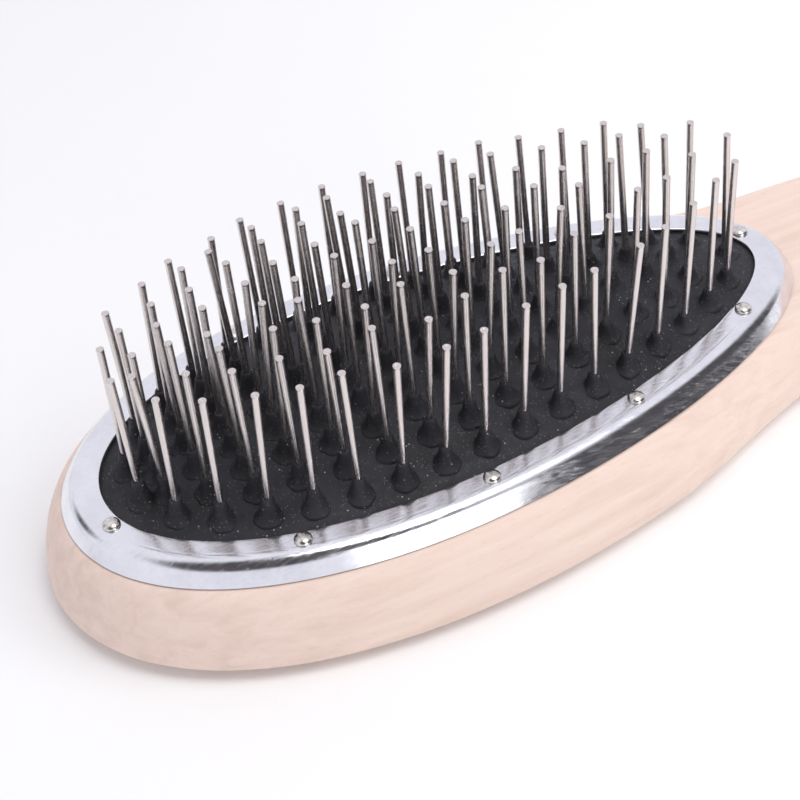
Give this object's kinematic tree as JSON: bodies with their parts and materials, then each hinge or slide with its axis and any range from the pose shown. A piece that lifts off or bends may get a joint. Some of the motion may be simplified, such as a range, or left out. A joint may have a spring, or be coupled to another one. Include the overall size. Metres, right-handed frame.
{
  "type": "pet pin brush",
  "caption": "Wooden-handled pet pin brush: egg-shaped head with rows of long blunt steel pins in a black air cushion, held by a nailed chrome ring.",
  "frame": {"origin": "middle of the footprint, on the flat back of the wooden body", "axes": "+Z the way the pins point, +X from the head's tip to the handle's end, +Y across the brush"},
  "size_m": [0.24, 0.0726, 0.0492],
  "materials": {
    "beech_wood": "sanded, unvarnished",
    "ring_chrome": "bright pressed sheet",
    "nail_nickel": "domed, polished",
    "pin_steel": "polished drawn wire",
    "cushion_rubber": "matt moulded rubber",
    "backing_cotton": "woven cotton"
  },
  "bodies": {
    "head": {"wooden_body": "beech_wood", "trim_ring": "ring_chrome", "rubber_cushion": "cushion_rubber", "ring_nail_01": "nail_nickel", "ring_nail_02": "nail_nickel", "ring_nail_03": "nail_nickel", "ring_nail_04": "nail_nickel", "ring_nail_05": "nail_nickel", "ring_nail_06": "nail_nickel", "ring_nail_07": "nail_nickel", "ring_nail_08": "nail_nickel", "ring_nail_09": "nail_nickel"},
    "pin_bed": {"backing_cloth": "backing_cotton"},
    "row_01": {"pin_row_01": "pin_steel"},
    "row_02": {"pin_row_02": "pin_steel"},
    "row_03": {"pin_row_03": "pin_steel"},
    "row_04": {"pin_row_04": "pin_steel"},
    "row_05": {"pin_row_05": "pin_steel"},
    "row_06": {"pin_row_06": "pin_steel"},
    "row_07": {"pin_row_07": "pin_steel"},
    "row_08": {"pin_row_08": "pin_steel"},
    "row_09": {"pin_row_09": "pin_steel"},
    "row_10": {"pin_row_10": "pin_steel"},
    "row_11": {"pin_row_11": "pin_steel"},
    "row_12": {"pin_row_12": "pin_steel"},
    "row_13": {"pin_row_13": "pin_steel"},
    "row_14": {"pin_row_14": "pin_steel"},
    "row_15": {"pin_row_15": "pin_steel"},
    "row_16": {"pin_row_16": "pin_steel"},
    "row_17": {"pin_row_17": "pin_steel"},
    "row_18": {"pin_row_18": "pin_steel"}
  },
  "joints": [
    {"name": "cushion_press", "type": "slide", "parent": "head", "child": "pin_bed", "axis": [0, 0, -1], "range_m": [0, 0.0025], "stiffness_N_per_m": 3000, "deforming": ["rubber_cushion"]},
    {"name": "row_01_tilt", "type": "hinge", "parent": "pin_bed", "child": "row_01", "pos_m": [-0.10283, 0, 0.01934], "axis": [0, 1, 0], "range_deg": [-6, 6], "stiffness_Nm_per_rad": 0.3},
    {"name": "row_02_tilt", "type": "hinge", "parent": "pin_bed", "child": "row_02", "pos_m": [-0.099, 0, 0.01996], "axis": [0, 1, 0], "range_deg": [-6, 6], "stiffness_Nm_per_rad": 0.3},
    {"name": "row_03_tilt", "type": "hinge", "parent": "pin_bed", "child": "row_03", "pos_m": [-0.09331, 0, 0.0208], "axis": [0, 1, 0], "range_deg": [-6, 6], "stiffness_Nm_per_rad": 0.3},
    {"name": "row_04_tilt", "type": "hinge", "parent": "pin_bed", "child": "row_04", "pos_m": [-0.08687, 0, 0.02164], "axis": [0, 1, 0], "range_deg": [-6, 6], "stiffness_Nm_per_rad": 0.3},
    {"name": "row_05_tilt", "type": "hinge", "parent": "pin_bed", "child": "row_05", "pos_m": [-0.08009, 0, 0.02237], "axis": [0, 1, 0], "range_deg": [-6, 6], "stiffness_Nm_per_rad": 0.3},
    {"name": "row_06_tilt", "type": "hinge", "parent": "pin_bed", "child": "row_06", "pos_m": [-0.07315, 0, 0.02298], "axis": [0, 1, 0], "range_deg": [-6, 6], "stiffness_Nm_per_rad": 0.3},
    {"name": "row_07_tilt", "type": "hinge", "parent": "pin_bed", "child": "row_07", "pos_m": [-0.06613, 0, 0.02343], "axis": [0, 1, 0], "range_deg": [-6, 6], "stiffness_Nm_per_rad": 0.3},
    {"name": "row_08_tilt", "type": "hinge", "parent": "pin_bed", "child": "row_08", "pos_m": [-0.05908, 0, 0.02374], "axis": [0, 1, 0], "range_deg": [-6, 6], "stiffness_Nm_per_rad": 0.3},
    {"name": "row_09_tilt", "type": "hinge", "parent": "pin_bed", "child": "row_09", "pos_m": [-0.05203, 0, 0.02388], "axis": [0, 1, 0], "range_deg": [-6, 6], "stiffness_Nm_per_rad": 0.3},
    {"name": "row_10_tilt", "type": "hinge", "parent": "pin_bed", "child": "row_10", "pos_m": [-0.04501, 0, 0.02388], "axis": [0, 1, 0], "range_deg": [-6, 6], "stiffness_Nm_per_rad": 0.3},
    {"name": "row_11_tilt", "type": "hinge", "parent": "pin_bed", "child": "row_11", "pos_m": [-0.03801, 0, 0.02371], "axis": [0, 1, 0], "range_deg": [-6, 6], "stiffness_Nm_per_rad": 0.3},
    {"name": "row_12_tilt", "type": "hinge", "parent": "pin_bed", "child": "row_12", "pos_m": [-0.03106, 0, 0.0234], "axis": [0, 1, 0], "range_deg": [-6, 6], "stiffness_Nm_per_rad": 0.3},
    {"name": "row_13_tilt", "type": "hinge", "parent": "pin_bed", "child": "row_13", "pos_m": [-0.02416, 0, 0.02294], "axis": [0, 1, 0], "range_deg": [-6, 6], "stiffness_Nm_per_rad": 0.3},
    {"name": "row_14_tilt", "type": "hinge", "parent": "pin_bed", "child": "row_14", "pos_m": [-0.01734, 0, 0.02234], "axis": [0, 1, 0], "range_deg": [-6, 6], "stiffness_Nm_per_rad": 0.3},
    {"name": "row_15_tilt", "type": "hinge", "parent": "pin_bed", "child": "row_15", "pos_m": [-0.01063, 0, 0.0216], "axis": [0, 1, 0], "range_deg": [-6, 6], "stiffness_Nm_per_rad": 0.3},
    {"name": "row_16_tilt", "type": "hinge", "parent": "pin_bed", "child": "row_16", "pos_m": [-0.00411, 0, 0.02075], "axis": [0, 1, 0], "range_deg": [-6, 6], "stiffness_Nm_per_rad": 0.3},
    {"name": "row_17_tilt", "type": "hinge", "parent": "pin_bed", "child": "row_17", "pos_m": [0.00193, 0, 0.01985], "axis": [0, 1, 0], "range_deg": [-6, 6], "stiffness_Nm_per_rad": 0.3},
    {"name": "row_18_tilt", "type": "hinge", "parent": "pin_bed", "child": "row_18", "pos_m": [0.0056, 0, 0.01924], "axis": [0, 1, 0], "range_deg": [-6, 6], "stiffness_Nm_per_rad": 0.3}
  ]
}
